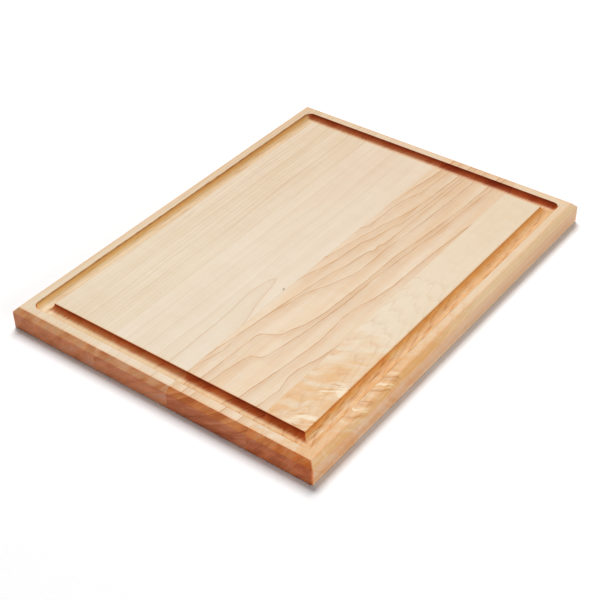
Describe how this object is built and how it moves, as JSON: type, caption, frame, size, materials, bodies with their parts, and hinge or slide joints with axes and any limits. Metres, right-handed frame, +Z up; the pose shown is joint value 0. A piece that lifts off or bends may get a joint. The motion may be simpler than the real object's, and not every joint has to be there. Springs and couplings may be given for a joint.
{
  "type": "cutting board",
  "caption": "Edge-glued hardwood cutting board with a rounded juice groove near the rim and a chamfered top edge.",
  "frame": {"origin": "on the underside, at the middle of the board", "axes": "+X along the grain, the long side; +Y across the grain; +Z up, out of the grooved face"},
  "size_m": [0.508, 0.381, 0.0254],
  "materials": {
    "maple_straight": "sanded and oiled, satin",
    "maple_plain": "sanded and oiled, satin",
    "maple_flowing": "sanded and oiled, satin",
    "maple_curly": "sanded and oiled, satin",
    "wood_glue": "dried, semi-gloss"
  },
  "bodies": {
    "root": {"stave_1": "maple_straight", "stave_2": "maple_straight", "stave_3": "maple_plain", "stave_4": "maple_flowing", "stave_5": "maple_curly", "glue_line_1": "wood_glue", "glue_line_2": "wood_glue", "glue_line_3": "wood_glue", "glue_line_4": "wood_glue"}
  },
  "joints": []
}
